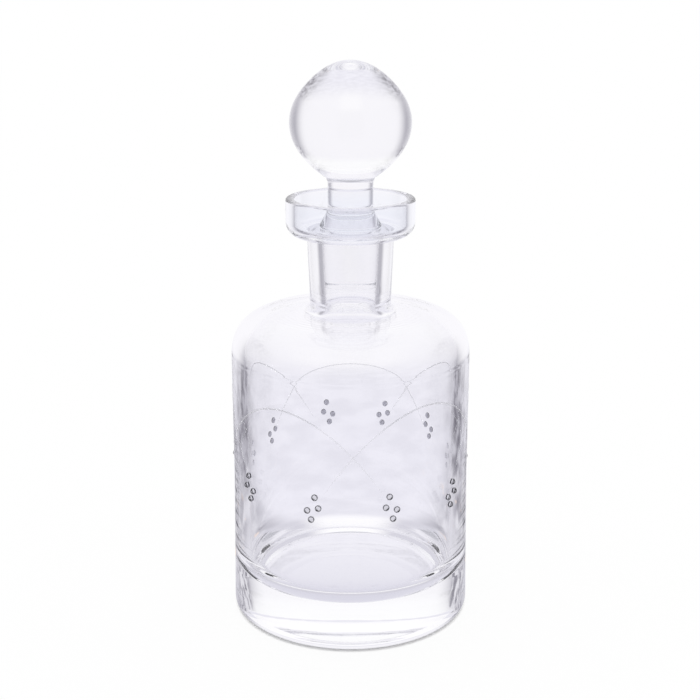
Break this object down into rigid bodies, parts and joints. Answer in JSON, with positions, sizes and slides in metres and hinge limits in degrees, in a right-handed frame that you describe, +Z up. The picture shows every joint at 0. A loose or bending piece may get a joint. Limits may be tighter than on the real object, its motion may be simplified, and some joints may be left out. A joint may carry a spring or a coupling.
{
  "type": "whisky decanter",
  "caption": "Clear glass whisky decanter with a ball stopper, a cup-shaped gallery round its mouth, and small crystals on its wall.",
  "frame": {"origin": "middle of the foot, on the surface the decanter stands on", "axes": "+Z up along the bottle's axis; the front faces -Y and +X is to its right"},
  "size_m": [0.1005, 0.0998, 0.2285],
  "materials": {
    "clear_glass": "clear polished glass, faintly cool",
    "foiled_crystal": "cut crystal over silver foil"
  },
  "bodies": {
    "bottle": {"decanter_body": "clear_glass", "crystal_1_left_top": "foiled_crystal", "crystal_1_left_inner": "foiled_crystal", "crystal_1_left_outer": "foiled_crystal", "crystal_1_left_bottom": "foiled_crystal", "crystal_1_right_top": "foiled_crystal", "crystal_1_right_inner": "foiled_crystal", "crystal_1_right_outer": "foiled_crystal", "crystal_1_right_bottom": "foiled_crystal", "crystal_2_left_top": "foiled_crystal", "crystal_2_left_inner": "foiled_crystal", "crystal_2_left_outer": "foiled_crystal", "crystal_2_left_bottom": "foiled_crystal", "crystal_2_right_top": "foiled_crystal", "crystal_2_right_inner": "foiled_crystal", "crystal_2_right_outer": "foiled_crystal", "crystal_2_right_bottom": "foiled_crystal", "crystal_3_left_top": "foiled_crystal", "crystal_3_left_inner": "foiled_crystal", "crystal_3_left_outer": "foiled_crystal", "crystal_3_left_bottom": "foiled_crystal", "crystal_3_right_top": "foiled_crystal", "crystal_3_right_inner": "foiled_crystal", "crystal_3_right_outer": "foiled_crystal", "crystal_3_right_bottom": "foiled_crystal", "crystal_4_left_top": "foiled_crystal", "crystal_4_left_inner": "foiled_crystal", "crystal_4_left_outer": "foiled_crystal", "crystal_4_left_bottom": "foiled_crystal", "crystal_4_right_top": "foiled_crystal", "crystal_4_right_inner": "foiled_crystal", "crystal_4_right_outer": "foiled_crystal", "crystal_4_right_bottom": "foiled_crystal", "crystal_5_left_top": "foiled_crystal", "crystal_5_left_inner": "foiled_crystal", "crystal_5_left_outer": "foiled_crystal", "crystal_5_left_bottom": "foiled_crystal", "crystal_5_right_top": "foiled_crystal", "crystal_5_right_inner": "foiled_crystal", "crystal_5_right_outer": "foiled_crystal", "crystal_5_right_bottom": "foiled_crystal"},
    "stopper": {"stopper": "clear_glass"}
  },
  "joints": [
    {"name": "stopper_lift", "type": "slide", "parent": "bottle", "child": "stopper", "axis": [0, 0, 1], "range_m": [0, 0.045]}
  ]
}
